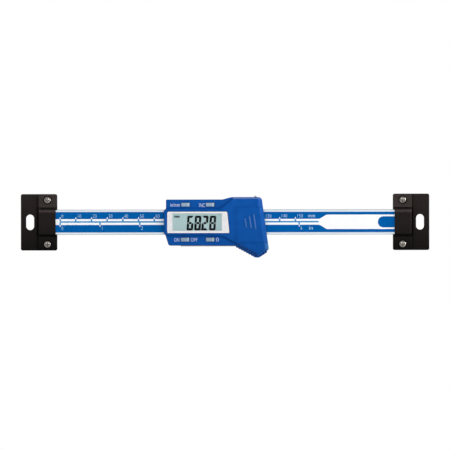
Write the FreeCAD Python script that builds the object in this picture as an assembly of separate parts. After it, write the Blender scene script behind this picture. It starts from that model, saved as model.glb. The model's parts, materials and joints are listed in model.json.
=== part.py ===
import FreeCAD, Part
import math
import os

# A digital linear scale: a steel beam between two clamp brackets, and a slider with a display on it.
# Sizes are millimetres. x runs along the beam from the left mounting slot, z is up, and depth is
# measured from the mounting face towards the reader, so depth d lies at y = -d.

# Travel along the beam
measuring_range = 150.0
rest_reading = 68.28
zero_gap = 1.12          # clamp to button strip when the display reads zero
run_out = 2.48           # free beam past the frame at the end of the range

# Running and assembly clearances
slide_gap = 0.1
fit_gap = 0.1
door_gap = 0.18
thread_gap = 0.03
loose_gap = 0.25
same_point = 1e-6
least_round = 0.25       # share of a corner radius that an inset always leaves

# Beam, electrode grid and printed label
beam_width = 16.0
beam_thickness = 3.6
beam_edge = 0.3
beam_end_inset = 6.6     # slot centre to the end of the beam
grid_width = 12.8
grid_pocket = 0.2
grid_thickness = 0.6
grid_end = 1.0
label_thickness = 0.2

# Brackets
bracket_width = 23.2
bracket_height = 36.0
bracket_corner = 1.2
bracket_edge = 0.4
seat_depth = 2.0
slot_edge = 5.9
slot_width = 5.1
slot_length = 9.9
slot_chamfer = 0.4
clamp_width = 11.9
clamp_gap = 0.1
seat_relief = 1.8        # free space behind the end of the beam
cap_wall = 1.1
cap_setback = 1.0
cap_side = 0.05          # hood past the edge of the beam
cap_edge = 0.6
cap_corner = 0.9
cap_groove_width = 1.35
cap_web = 0.6            # floor of the groove, over the beam
ear_drop = 0.3           # ears below the front of the hood

# Clamp screws
clamp_screw_offset = 14.1
clamp_screw_inset = 6.2
clamp_screw_radius = 1.25
clamp_screw_length = 7.0
clamp_head_radius = 2.1
clamp_head_height = 1.4
clamp_head_rim = 0.5
clamp_counterbore_radius = 2.7
clamp_counterbore_depth = 0.6
recess_length = 2.6
recess_width = 0.6
recess_depth = 0.8

# Slider frame
frame_back_gap = 0.8
frame_web = 3.3
frame_start = 0.5
frame_length = 60.0
frame_top = 14.1
frame_bottom = 15.05
frame_edge = 0.4
frame_corner_width = 1.9
frame_corner_height = 5.15
lip_overlap = 1.3
sensor_gap = 0.2
mount_hole_radius = 1.25
mount_hole_depth = 6.0
mount_hole_insets = (15.3, 17.7)     # from the frame's two ends
side_hole_height = 11.4

# Gib, its grub screws and the lock screw
gib_thickness = 1.0
gib_margin = 2.0
gib_seat_gap = 0.05
grub_radius = 1.0
grub_tip = 0.5
grub_length = 3.4
grub_insets = (9.3, 12.7)            # from the frame's two ends
lock_inset = 3.3
lock_radius = 0.8
lock_tip_gap = 0.3
lock_head_radius = 0.95
lock_head_gap = 0.3
lock_head_height = 2.3
screw_slot_width = 0.5
screw_slot_depth = 0.8

# Circuit board and what stands on it
board_thickness = 1.0
board_start = 6.3
board_end_inset = 2.2
board_half_height = 12.2
board_screw_places = (21.8, 36.3)
board_screw_radius = 0.8
board_screw_length = 3.5
board_head_radius = 1.4
board_head_height = 0.9
chip_place = 20.0
chip_radius = 4.0
chip_height = 1.2
dome_radius = 1.7
dome_top_radius = 0.9
dome_height = 0.5

# Display
zebra_height = 4.2
zebra_width = 1.6
zebra_start_inset = 0.3  # from the board's left edge
zebra_end_inset = 0.9    # from the right edge of the glass
lcd_left_inset = 1.8     # window to glass
lcd_right_inset = 1.7
lcd_side_inset = 0.15
lcd_thickness = 2.0
mask_thickness = 0.4
mask_lap = 0.6
view_left_inset = 3.5    # window to the opening in the mask
view_right_inset = 3.6
view_top_inset = 0.9
view_bottom_inset = 1.7
window_start = 0.7
window_door_gap = 4.1    # lower right corner of the window to the door
window_slant = 1.4
window_top = 6.8
window_bottom = 7.1
window_corner = 0.8
window_chamfer = 0.3
lens_tape = 0.1
lens_thickness = 0.9
lens_recess = 0.2

# Moulded housing
overhang_gap = 0.4
wall = 1.5
strip_step = 1.8
strip_skin = 1.6
strip_top = 14.4
strip_bottom = 14.75
strip_slant = 1.65
shoulder_run = 5.8
shoulder_radius = 4.0
strip_edge = 0.4
strip_corner = 0.8
nose_reach = 1.4
nose_half_height = 7.3
bezel_half_height = 8.0
bezel_flank = 2.5
nose_flank = 0.5
nose_corner_flank = 0.7
flank_height = 4.55
face_edge = 0.35
block_start = 34.5
block_rise_angle = 39.0
block_top = 15.95
block_top_flank = 1.25
block_rise_flank = 1.6
block_corner_reach = 0.45            # past the end of the frame
block_corner_radius = 2.4
right_flank = 2.2
heel_reach = 5.1                     # past the end of the frame
heel_z = -17.4
heel_radius = 1.6
heel_flank = 1.2
tip_inset = 1.9
tip_z = -22.9
tip_radius = 1.3
thumb_flank = 1.8
thumb_start = 35.8
thumb_radius = 11.0
tooth_pitch = 1.8
tooth_count = 8
tooth_radius = 0.75
tooth_depth = 0.55
heel_groove_count = 3
heel_groove_radius = 1.5
heel_groove_depth = 0.35
boss_radius = 2.0
boss_insets = (3.4, 7.6)             # from the frame's two ends
skirt_inset = 0.3
skirt_end = 1.0
floor_thickness = 1.4
pocket_rib = 1.2

# Housing screws, driven from the back
housing_screw_radius = 1.0
housing_screw_bite = 4.0
housing_head_radius = 1.9
housing_head_height = 1.4
housing_head_sink = 1.8

# Push buttons
button_length = 5.7
button_height = 2.5
button_corner = 0.6
button_proud = 0.5
button_crown = 0.25
button_travel = 0.5
button_flange = 0.4
flange_thickness = 0.9
stem_radius = 1.1
upper_flange_gap = 0.15  # flange to the wall of the strip
lower_flange_gap = 0.5
unit_button_place = 12.5
mode_button_place = 28.2
power_button_place = 12.2
zero_button_place = 28.2

# Battery, contacts and sliding door
cell_radius = 5.8
cell_thickness = 5.4
cell_cap_radius = 4.6
cell_cap_height = 0.4
cell_rim = 0.4
cell_inset = 7.6
cell_z = -1.7
well_wall = 1.1
contact_thickness = 0.3
contact_width = 4.0
contact_lift = 0.6
contact_knee = 2.3
cell_door_gap = 0.4
door_inset = 15.8
door_top = 9.5
door_bottom = 13.2
door_drop = 2.8          # lower edge of the door's side below its inner face
tab_reach = 1.2
tab_width = 4.0
tab_thickness = 0.6
tab_offset = 5.0
rib_width = 1.2
rib_height = 0.45
rib_edge = 0.3
rib_places = ((6.1, -0.6, 6.3), (9.05, -0.15, 8.0), (11.85, 0.15, 10.0))   # from the door's left edge
rib_lean = 8.5           # degrees from upright

# Depth stack, from the mounting face
beam_back = frame_back_gap + frame_web + slide_gap
beam_front = beam_back + beam_thickness
grid_back = beam_front - grid_pocket
grid_front = grid_back + grid_thickness
label_front = grid_front + label_thickness
lip_back = beam_front + slide_gap
frame_front = label_front + sensor_gap
board_front = frame_front + board_thickness
base_front = beam_back + seat_depth
clamp_back = base_front + clamp_gap
cap_inside = label_front + fit_gap
cap_front = cap_inside + cap_wall
ear_front = cap_front - ear_drop
groove_floor = beam_front + cap_web
rim_depth = cap_front + overhang_gap
lcd_back = board_front + zebra_height
lcd_front = lcd_back + lcd_thickness
mask_front = lcd_front + mask_thickness
lens_back = mask_front + lens_tape
lens_front = lens_back + lens_thickness
face_depth = lens_front + lens_recess
flank_start = face_depth - face_edge - flank_height
strip_front = face_depth - strip_step
strip_under = strip_front - strip_skin
cell_back = board_front + contact_lift
cell_front = cell_back + cell_thickness
door_under = cell_front + cell_door_gap
door_low = door_under - door_drop

# Places along and across the beam
beam_half = beam_width / 2
cap_half = beam_half + cap_side
groove_half = cap_half + cap_groove_width
bracket_reach = bracket_width - slot_edge
slider_left = bracket_reach + zero_gap + rest_reading
frame_left = slider_left + frame_start
frame_right = frame_left + frame_length
frame_end = frame_start + frame_length
mount_hole_places = (frame_start + mount_hole_insets[0], frame_end - mount_hole_insets[1])
grub_places = (frame_start + grub_insets[0], frame_end - grub_insets[1])
boss_places = (frame_start + boss_insets[0], frame_end - boss_insets[1])
lock_place = frame_end - lock_inset
block_corner_x = frame_end + block_corner_reach
heel_x = frame_end + heel_reach
tip_x = frame_end - tip_inset
door_start = frame_end - door_inset
cell_place = frame_end - cell_inset
window_end = door_start - window_door_gap - window_slant
lcd_start = window_start + lcd_left_inset
lcd_end = window_end - lcd_right_inset
lcd_top = window_top - lcd_side_inset
lcd_bottom = window_bottom - lcd_side_inset
view_start = window_start + view_left_inset
view_end = window_end - view_right_inset
view_top = window_top - view_top_inset
view_bottom = window_bottom - view_bottom_inset
upper_row = strip_top - wall - upper_flange_gap - button_flange - button_height / 2
lower_row = strip_bottom - wall - lower_flange_gap - button_flange - button_height / 2
button_places = {"unit_button": (unit_button_place, upper_row),
                 "mode_button": (mode_button_place, upper_row),
                 "power_button": (power_button_place, -lower_row),
                 "zero_button": (zero_button_place, -lower_row)}
slot_spacing = frame_right + measuring_range - rest_reading + run_out + bracket_reach
mid_x = slot_spacing / 2
channel_half = beam_half + slide_gap
channel_top = channel_half + gib_thickness + gib_seat_gap
beam_mid_depth = (beam_back + beam_front) / 2
clamp_screw_x = bracket_reach - clamp_screw_inset
front = FreeCAD.Vector(0, -1, 0)
up = FreeCAD.Vector(0, 0, 1)


def at(x, depth, z):
    return FreeCAD.Vector(x, -depth, z)


def rectangle(left, right, low, high, radius=0.0):
    return [(left, high, radius), (right, high, radius), (right, low, radius), (left, low, radius)]


def turn(before, corner, after):
    """Cross product of the two edges at a corner, negative where the outline bulges."""
    first = (corner[0] - before[0], corner[1] - before[1])
    second = (after[0] - corner[0], after[1] - corner[1])
    return first[0] * second[1] - first[1] * second[0]


def inset(corners, amounts):
    """Corners moved in from a clockwise outline, by one amount or by one for each edge."""
    count = len(corners)
    if not isinstance(amounts, (list, tuple)):
        amounts = [amounts] * count
    lines = []
    for index in range(count):
        x0, z0 = corners[index][:2]
        x1, z1 = corners[(index + 1) % count][:2]
        length = math.hypot(x1 - x0, z1 - z0)
        ux, uz = (x1 - x0) / length, (z1 - z0) / length
        lines.append((x0 + uz * amounts[index], z0 - ux * amounts[index], ux, uz))
    moved = []
    for index in range(count):
        ax, az, aux, auz = lines[index - 1]
        bx, bz, bux, buz = lines[index]
        along = ((bx - ax) * buz - (bz - az) * bux) / (aux * buz - auz * bux)
        radius = corners[index][2]
        if radius:
            grow = (amounts[index - 1] + amounts[index]) / 2
            bulges = turn(corners[index - 1], corners[index], corners[(index + 1) % count]) < 0
            radius = max(radius - grow, radius * least_round) if bulges else radius + grow
        moved.append((ax + along * aux, az + along * auz, radius))
    return moved


def wire(corners, depth):
    """Closed outline of straight runs with an arc of the given radius at each rounded corner."""
    stops = []
    count = len(corners)
    for index, (x, z, radius) in enumerate(corners):
        corner = at(x, depth, z)
        if not radius:
            stops.append((corner, None, corner))
            continue
        before = corners[index - 1]
        after = corners[(index + 1) % count]
        back = (at(before[0], depth, before[1]) - corner).normalize()
        ahead = (at(after[0], depth, after[1]) - corner).normalize()
        half = back.getAngle(ahead) / 2
        cut = radius / math.tan(half)
        middle = (back + ahead).normalize() * (radius / math.sin(half) - radius)
        stops.append((corner + back * cut, corner + middle, corner + ahead * cut))
    edges = []
    for index, (start, middle, end) in enumerate(stops):
        if middle is not None:
            edges.append(Part.Arc(start, middle, end).toShape())
        following = stops[(index + 1) % count][0]
        if end.distanceToPoint(following) > same_point:
            edges.append(Part.makeLine(end, following))
    return Part.Wire(edges)


def plate(corners, low, high):
    return Part.Face(wire(corners, low)).extrude(front * (high - low))


def stack(*sections):
    """Solid through outlines at rising depths, with straight flanks between them."""
    return Part.makeLoft([wire(corners, depth) for corners, depth in sections], True, True)


def block(left, right, low, high, bottom, top):
    return plate(rectangle(left, right, bottom, top), low, high)


def rod(x, z, radius, low, high):
    return Part.makeCylinder(radius, high - low, at(x, low, z), front)


def post(x, depth, radius, bottom, top):
    return Part.makeCylinder(radius, top - bottom, at(x, depth, bottom), up)


def lathe(profile, x, z):
    """Solid of revolution about a depth axis, from (radius, depth) points."""
    points = [FreeCAD.Vector(radius, -depth, 0) for radius, depth in profile]
    outline = Part.makePolygon(points + points[:1])
    turned = Part.Face(outline).revolve(FreeCAD.Vector(0, 0, 0), FreeCAD.Vector(0, 1, 0), 360)
    turned.translate(FreeCAD.Vector(x, 0, z))
    return turned


def domed_head(x, z, seat, radius, rim, height, direction=1):
    """Pan head: a short cylinder under a spherical crown, rising to the front or to the back."""
    crown = height - rim
    sphere = (radius ** 2 + crown ** 2) / (2 * crown)
    base = seat if direction > 0 else seat - height
    barrel = rod(x, z, radius, base, base + height)
    ball = Part.makeSphere(sphere, at(x, seat + direction * (height - sphere), z))
    return barrel.common(ball)


def cross_recess(x, z, top, direction=1):
    low, high = sorted((top, top - direction * recess_depth))
    long, short = recess_length / 2, recess_width / 2
    level = block(x - long, x + long, low, high, z - short, z + short)
    return level.fuse(block(x - short, x + short, low, high, z - long, z + long))


def mirrored(shape):
    return shape.mirror(FreeCAD.Vector(mid_x, 0, 0), FreeCAD.Vector(1, 0, 0))


def both_heights(offset):
    return (offset, -offset)


def slider(x):
    return slider_left + x


def beam():
    ends = (beam_end_inset, slot_spacing - beam_end_inset)
    section = rectangle(ends[0], ends[1], -beam_half, beam_half)
    edges = [beam_edge, 0, beam_edge, 0]
    bar = stack((inset(section, edges), beam_back), (section, beam_back + beam_edge),
                (section, beam_front - beam_edge), (inset(section, edges), beam_front))
    pocket_half = grid_width / 2 + fit_gap / 2
    return bar.cut(block(ends[0], ends[1], grid_back, beam_front, -pocket_half, pocket_half))


def grid_strip(low, high):
    start = beam_end_inset + grid_end
    return block(start, slot_spacing - start, low, high, -grid_width / 2, grid_width / 2)


def bracket_outline(left):
    half = bracket_height / 2
    return rectangle(left, bracket_reach, -half, half, bracket_corner)


def slot_outline(grow=0.0):
    half = slot_width / 2 + grow
    reach = slot_length / 2 + grow
    return rectangle(-half, half, -reach, reach, half)


def bracket_base():
    outline = bracket_outline(-slot_edge)
    body = stack((outline, 0.0), (outline, base_front - bracket_edge),
                 (inset(outline, [bracket_edge, 0, bracket_edge, bracket_edge]), base_front))
    seat_start = beam_end_inset - seat_relief
    seat_half = beam_half + fit_gap
    body = body.cut(block(seat_start, bracket_reach, beam_back, base_front, -seat_half, seat_half))
    body = body.cut(plate(slot_outline(), 0.0, base_front))
    body = body.cut(stack((slot_outline(), base_front - slot_chamfer),
                          (slot_outline(slot_chamfer), base_front)))
    seat = ear_front - clamp_counterbore_depth
    for z in both_heights(clamp_screw_offset):
        hole = rod(clamp_screw_x, z, clamp_screw_radius + thread_gap,
                   seat - clamp_screw_length - loose_gap, base_front)
        body = body.cut(hole)
    return body


def clamp_cap():
    """Raised hood over the end of the beam, closed at its outer end."""
    left = bracket_reach - clamp_width
    right = bracket_reach - cap_setback
    foot = [(left, cap_half, cap_corner), (right, cap_half, 0.0),
            (right, -cap_half, 0.0), (left, -cap_half, cap_corner)]
    top = inset(foot, [cap_edge, 0, cap_edge, cap_edge])
    return stack((foot, clamp_back), (foot, cap_front - cap_edge), (top, cap_front))


def bracket_clamp():
    left = bracket_reach - clamp_width
    ears = bracket_outline(left)
    body = stack((ears, clamp_back), (ears, ear_front - bracket_edge),
                 (inset(ears, bracket_edge), ear_front))
    body = body.cut(block(left, bracket_reach, groove_floor, ear_front, -groove_half, groove_half))
    notch_half = beam_half + loose_gap
    body = body.cut(block(bracket_reach - cap_setback, bracket_reach, clamp_back, groove_floor,
                          -notch_half, notch_half))
    body = body.fuse(clamp_cap())
    seat_half = beam_half + fit_gap
    relief_half = grid_width / 2 + fit_gap
    start = beam_end_inset - fit_gap
    body = body.cut(block(start, bracket_reach, clamp_back, beam_front, -seat_half, seat_half))
    body = body.cut(block(start, bracket_reach, beam_front, cap_inside, -relief_half, relief_half))
    for z in both_heights(clamp_screw_offset):
        body = body.cut(rod(clamp_screw_x, z, clamp_screw_radius + fit_gap, clamp_back, ear_front))
        body = body.cut(rod(clamp_screw_x, z, clamp_counterbore_radius,
                            ear_front - clamp_counterbore_depth, ear_front))
    return body.removeSplitter()


def clamp_screws():
    seat = ear_front - clamp_counterbore_depth
    screws = []
    for z in both_heights(clamp_screw_offset):
        head = domed_head(clamp_screw_x, z, seat, clamp_head_radius, clamp_head_rim, clamp_head_height)
        shank = rod(clamp_screw_x, z, clamp_screw_radius, seat - clamp_screw_length, seat)
        screw = head.fuse(shank).removeSplitter()
        screws.append(screw.cut(cross_recess(clamp_screw_x, z, seat + clamp_head_height)))
    return Part.makeCompound(screws)


def frame_outline():
    return [(frame_left, frame_top, 0.0), (frame_right, frame_top, 0.0), (frame_right, -frame_bottom, 0.0),
            (frame_left + frame_corner_width, -frame_bottom, 0.0),
            (frame_left, frame_corner_height - frame_bottom, 0.0)]


def slider_frame():
    outline = frame_outline()
    body = stack((inset(outline, frame_edge), frame_back_gap), (outline, frame_back_gap + frame_edge),
                 (outline, frame_front))
    body = body.cut(block(frame_left, frame_right, beam_back - slide_gap, lip_back,
                          -channel_half, channel_top))
    throat = beam_half - lip_overlap
    body = body.cut(block(frame_left, frame_right, lip_back, frame_front, -throat, throat))
    for z in both_heights(side_hole_height):
        for place in mount_hole_places:
            body = body.cut(rod(slider(place), z, mount_hole_radius,
                                frame_back_gap, frame_back_gap + mount_hole_depth))
        for place in board_screw_places:
            body = body.cut(rod(slider(place), z, board_screw_radius + thread_gap,
                                board_front - board_screw_length - loose_gap - board_thickness,
                                frame_front))
        for place in boss_places:
            body = body.cut(rod(slider(place), z, housing_screw_radius + fit_gap,
                                frame_back_gap, frame_front))
            body = body.cut(rod(slider(place), z, housing_head_radius + fit_gap,
                                frame_back_gap, frame_back_gap + housing_head_sink))
    for place in grub_places:
        body = body.cut(post(slider(place), beam_mid_depth, grub_radius + thread_gap,
                             channel_top, frame_top))
    return body.cut(post(slider(lock_place), beam_mid_depth, lock_radius + thread_gap,
                         channel_top, frame_top))


def gib_strip():
    strip = block(frame_left + gib_margin, frame_right - gib_margin, beam_back + slide_gap,
                  beam_front - slide_gap, channel_half, channel_half + gib_thickness)
    for place in grub_places:
        seat = at(slider(place), beam_mid_depth, channel_half + gib_thickness - grub_tip)
        strip = strip.cut(Part.makeCone(0.0, grub_radius, grub_tip, seat, up))
    return strip


def screw_slot(x, depth, top, radius):
    return block(x - radius, x + radius, depth - screw_slot_width / 2, depth + screw_slot_width / 2,
                 top - screw_slot_depth, top)


def gib_screws():
    screws = []
    for place in grub_places:
        x = slider(place)
        tip = channel_half + gib_thickness
        body = post(x, beam_mid_depth, grub_radius, tip, tip + grub_length)
        body = body.fuse(Part.makeCone(0.0, grub_radius, grub_tip, at(x, beam_mid_depth, tip - grub_tip), up))
        screws.append(body.cut(screw_slot(x, beam_mid_depth, tip + grub_length, grub_radius)))
    return Part.makeCompound(screws)


def lock_screw():
    x = slider(lock_place)
    tip = channel_half + gib_thickness + lock_tip_gap
    neck = frame_top + lock_head_gap
    top = neck + lock_head_height
    body = post(x, beam_mid_depth, lock_radius, tip, neck)
    body = body.fuse(post(x, beam_mid_depth, lock_head_radius, neck, top))
    return body.cut(screw_slot(x, beam_mid_depth, top, lock_head_radius))


def raised_corners():
    """Foot of the raised bezel and block, clockwise from the top of the nose."""
    foot = bezel_half_height + bezel_flank
    rise = math.radians(block_rise_angle)
    lean_x = block_rise_flank / math.sin(rise)
    start = block_start - lean_x + bezel_flank / math.tan(rise)
    end = start + (block_top - foot) / math.tan(rise)
    nose_run = foot - nose_half_height
    return [(slider(-nose_reach), nose_half_height, nose_corner_flank),
            (slider(nose_run - nose_reach), foot, 0.0),
            (slider(start), foot, block_rise_flank),
            (slider(end), block_top, block_rise_flank),
            (slider(block_corner_x), block_top, block_corner_radius),
            (slider(heel_x), heel_z, heel_radius),
            (slider(tip_x), tip_z, tip_radius),
            (slider(thumb_start), -foot, thumb_radius),
            (slider(nose_run - nose_reach), -foot, 0.0),
            (slider(-nose_reach), -nose_half_height, nose_corner_flank)]


def raised_face():
    flanks = [nose_corner_flank, bezel_flank, block_rise_flank, block_top_flank, right_flank,
              heel_flank, thumb_flank, bezel_flank, nose_corner_flank, nose_flank]
    return inset(raised_corners(), flanks)


def raised_body():
    foot = raised_corners()
    face = raised_face()
    return stack((foot, rim_depth), (foot, flank_start), (face, face_depth - face_edge),
                 (inset(face, face_edge), face_depth))


def strip_corners():
    """Outline of the lower body with the two button strips; its right end lies inside the block."""
    face = raised_face()
    rise_x, rise_z = face[3][:2]
    foot_end = raised_corners()[3][0]
    return [(slider(0.0), strip_top, strip_corner),
            (foot_end - shoulder_run, strip_top, shoulder_radius),
            (foot_end, block_top, strip_edge),
            (rise_x, rise_z, 0.0),
            (slider(door_start) - wall, -nose_half_height, 0.0),
            (slider(door_start) - strip_edge, -frame_bottom, 0.0),
            (slider(strip_slant), -strip_bottom, strip_corner),
            (slider(-nose_reach / 2), -nose_half_height, 0.0),
            (slider(0.0), nose_half_height, 0.0)]


def strip_amounts(amount):
    """An inset for each edge of the strips' outline that shows, and none for those inside the block."""
    return [amount, amount, 0, 0, 0, amount, amount, amount, amount]


def strip_body():
    outline = strip_corners()
    edges = strip_amounts(strip_edge)
    return stack((outline, rim_depth), (outline, strip_front - strip_edge),
                 (inset(outline, edges), strip_front))


def groove_pair(x, z, lean, flank, radius):
    """Finger groove that climbs the side wall and then follows the sloping flank."""
    wall_cut = rod(x, z, radius, rim_depth, flank_start)
    slope = at(lean[0] * flank, flank_height, lean[1] * flank)
    length = slope.Length + face_edge + radius
    return wall_cut.fuse(Part.makeCylinder(radius, length, at(x, flank_start, z), slope))


def edge_grooves(start, end, count, pitch, flank, radius, bite):
    """Row of finger grooves centred on the edge from one outline corner to the next."""
    length = math.hypot(end[0] - start[0], end[1] - start[1])
    ux, uz = (end[0] - start[0]) / length, (end[1] - start[1]) / length
    inward = (uz, -ux)
    first = (length - (count - 1) * pitch) / 2
    grooves = []
    for index in range(count):
        along = first + index * pitch
        x = start[0] + ux * along - inward[0] * (radius - bite)
        z = start[1] + uz * along - inward[1] * (radius - bite)
        grooves.append(groove_pair(x, z, inward, flank, radius))
    return Part.makeCompound(grooves)


def finger_grooves():
    corners = raised_corners()
    heel, tip = corners[5], corners[6]
    shoulder_x = slider(door_start)
    share = (tip[0] - shoulder_x) / (tip[0] - corners[7][0])
    shoulder = (shoulder_x, tip[1] + share * (corners[7][1] - tip[1]))
    heel_length = math.hypot(heel[0] - tip[0], heel[1] - tip[1])
    heel_pitch = heel_length / (heel_groove_count + 1)
    rests = edge_grooves(tip, shoulder, tooth_count, tooth_pitch, thumb_flank, tooth_radius, tooth_depth)
    heels = edge_grooves(heel, tip, heel_groove_count, heel_pitch, heel_flank,
                         heel_groove_radius, heel_groove_depth)
    return rests, heels


def window_outline(grow=0.0):
    left = slider(window_start)
    right = slider(window_end)
    shape = [(left, window_top, window_corner), (right, window_top, window_corner),
             (right + window_slant, -window_bottom, window_corner), (left, -window_bottom, window_corner)]
    return inset(shape, -grow) if grow else shape


def right_edge(z):
    """Foot of the right side wall at a height."""
    top, heel = raised_corners()[4:6]
    return top[0] + (heel[0] - top[0]) * (top[1] - z) / (top[1] - heel[1])


def door_core(gap):
    """Space under the door: a flat top and a right side that runs parallel to the outer flank."""
    low_z = -door_bottom - door_drop
    high_z = door_top + door_drop
    skin = face_depth - door_under + gap

    def section(depth):
        slope = right_flank * (depth - flank_start) / flank_height
        return [(slider(0.0), high_z, 0.0), (right_edge(high_z) - slope - skin, high_z, 0.0),
                (right_edge(low_z) - slope - skin, low_z, 0.0), (slider(0.0), low_z, 0.0)]

    return stack((section(rim_depth), rim_depth), (section(door_under - gap), door_under - gap))


def door_space(gap):
    return block(slider(door_start) - gap, slider(heel_x) + heel_radius, door_low - gap,
                 face_depth + rib_height, -door_bottom - gap, door_top + gap)


def door_tabs(gap):
    tabs = []
    for z in both_heights(tab_offset):
        middle = z + (door_top - door_bottom) / 2
        tabs.append(block(slider(door_start) - tab_reach - gap, slider(door_start) + tab_reach,
                          door_under - gap, door_under + tab_thickness + gap,
                          middle - tab_width / 2 - gap, middle + tab_width / 2 + gap))
    return Part.makeCompound(tabs)


def grip_rib(place, z, length):
    half = rib_width / 2
    x = slider(door_start + place)
    shape = rectangle(x - half, x + half, z - length / 2, z + length / 2, half)
    rib = stack((shape, face_depth - face_edge), (shape, face_depth + rib_height - rib_edge),
                (inset(shape, rib_edge), face_depth + rib_height))
    rib.rotate(at(x, 0, z), FreeCAD.Vector(0, 1, 0), -rib_lean)
    return rib


def battery_door():
    door = raised_body().common(door_space(0.0)).cut(door_core(0.0))
    door = door.fuse(door_tabs(0.0))
    for place, z, length in rib_places:
        door = door.fuse(grip_rib(place, z, length))
    return door.removeSplitter()


def cell_well():
    """Round wall that holds the button cell, with a slot for the side contact."""
    x, z = slider(cell_place), cell_z
    bore = cell_radius + loose_gap
    tube = rod(x, z, bore + well_wall, board_front + fit_gap, door_under - floor_thickness)
    slot = contact_width / 2 + loose_gap
    return tube, rod(x, z, bore, board_front, door_under).fuse(
        block(x - bore - wall, x, board_front, door_under - floor_thickness, z - slot, z + slot))


def footprint(thickness, low, high):
    """Plan of the lower body and the raised body together, less a wall all round."""
    strips = inset(strip_corners(), strip_amounts(thickness))
    return plate(strips, low, high).fuse(plate(inset(raised_corners(), thickness), low, high))


def inner_space():
    """Hollow over the circuit board, under the button strips and the battery floor."""
    room = plate(inset(frame_outline(), skirt_end), frame_front, strip_under)
    return room.common(footprint(wall, frame_front, strip_under))


def skirt():
    """Part of the side wall that reaches past the rim and stands on the frame."""
    ring = plate(inset(frame_outline(), skirt_inset), frame_front, rim_depth)
    return ring.common(footprint(0.0, frame_front, rim_depth))


def thumb_pocket():
    """Open hollow behind the thumb rest, outside the frame, with one stiffening rib."""
    region = plate(inset(raised_corners(), wall + tooth_depth), rim_depth, strip_under)
    below = block(slider(0.0), slider(heel_x), rim_depth, strip_under, tip_z, -frame_bottom - wall)
    rib = block(slider(tip_x) - pocket_rib, slider(tip_x), rim_depth, strip_under, tip_z, 0.0)
    return region.common(below).cut(rib)


def button_outline(name, grow=0.0):
    place, z = button_places[name]
    x = slider(place)
    half, rise = button_length / 2 + grow, button_height / 2 + grow
    return rectangle(x - half, x + half, z - rise, z + rise, button_corner + grow)


def housing():
    body = strip_body().fuse([raised_body(), skirt()])
    for grooves in finger_grooves():
        body = body.cut(grooves)
    tube, bore = cell_well()
    body = body.cut(inner_space())
    bosses = [rod(slider(place), z, boss_radius, frame_front, strip_under)
              for place in boss_places for z in both_heights(side_hole_height)]
    body = body.fuse(bosses + [tube])
    mask = plate(window_outline(mask_lap + fit_gap), lcd_back, mask_front)
    lens = stack((window_outline(), mask_front), (window_outline(), face_depth - window_chamfer),
                 (window_outline(window_chamfer), face_depth))
    cuts = [mask, lens, bore, thumb_pocket(), door_space(door_gap).cut(door_core(door_gap)),
            door_tabs(door_gap)]
    cuts += [plate(button_outline(name, fit_gap), strip_under, strip_front) for name in button_places]
    for z in both_heights(side_hole_height):
        for place in boss_places:
            depth = frame_front + housing_screw_bite + loose_gap
            cuts.append(rod(slider(place), z, housing_screw_radius + thread_gap, frame_front, depth))
    for piece in cuts:
        body = body.cut(piece)
    return body.removeSplitter()


def housing_screws():
    screws = []
    seat = frame_back_gap + housing_head_sink
    for place in boss_places:
        for z in both_heights(side_hole_height):
            x = slider(place)
            head = rod(x, z, housing_head_radius, seat - housing_head_height, seat)
            shank = rod(x, z, housing_screw_radius, seat, frame_front + housing_screw_bite)
            recess = cross_recess(x, z, seat - housing_head_height, -1)
            screws.append(head.fuse(shank).removeSplitter().cut(recess))
    return Part.makeCompound(screws)


def main_board():
    board = block(slider(board_start), slider(frame_end) - board_end_inset, frame_front, board_front,
                  -board_half_height, board_half_height)
    for z in both_heights(side_hole_height):
        for place in boss_places:
            board = board.cut(rod(slider(place), z, boss_radius + loose_gap, frame_front, board_front))
        for place in board_screw_places:
            board = board.cut(rod(slider(place), z, board_screw_radius + fit_gap,
                                  frame_front, board_front))
    return board


def board_screws():
    screws = []
    for place in board_screw_places:
        for z in both_heights(side_hole_height):
            x = slider(place)
            shank = rod(x, z, board_screw_radius, board_front - board_screw_length - board_thickness,
                        board_front)
            head = rod(x, z, board_head_radius, board_front, board_front + board_head_height)
            screws.append(shank.fuse(head).removeSplitter())
    return Part.makeCompound(screws)


def controller_chip():
    """Drop of epoxy over the controller, part of a sphere."""
    sphere = (chip_radius ** 2 + chip_height ** 2) / (2 * chip_height)
    x = slider(chip_place)
    ball = Part.makeSphere(sphere, at(x, board_front + chip_height - sphere, 0.0))
    return ball.common(rod(x, 0.0, sphere, board_front, board_front + chip_height))


def key_domes():
    return Part.makeCompound([Part.makeCone(dome_radius, dome_top_radius, dome_height,
                                            at(slider(place), board_front, z), front)
                              for place, z in button_places.values()])


def zebra_strips():
    left = slider(board_start + zebra_start_inset)
    right = slider(lcd_end - zebra_end_inset)
    strips = []
    for z in (lcd_top - zebra_width, zebra_width - lcd_bottom):
        strips.append(block(left, right, board_front, lcd_back, z - zebra_width / 2, z + zebra_width / 2))
    return Part.makeCompound(strips)


def lcd_panel():
    return block(slider(lcd_start), slider(lcd_end), lcd_back, lcd_front, -lcd_bottom, lcd_top)


def lcd_mask():
    view = rectangle(slider(view_start), slider(view_end), -view_bottom, view_top, window_chamfer)
    return plate(window_outline(mask_lap), lcd_front, mask_front).cut(plate(view, lcd_front, mask_front))


def display_lens():
    return plate(inset(window_outline(), fit_gap), lens_back, lens_front)


def push_button(name):
    place, z = button_places[name]
    outline = button_outline(name)
    top = strip_front + button_proud
    flange_front = strip_under - fit_gap
    cap = stack((outline, flange_front), (outline, top - button_crown), (inset(outline, button_crown), top))
    flange = plate(button_outline(name, button_flange), flange_front - flange_thickness, flange_front)
    tip = board_front + dome_height + button_travel + fit_gap
    stem = rod(slider(place), z, stem_radius, tip, flange_front - flange_thickness)
    return cap.fuse([flange, stem]).removeSplitter()


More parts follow.
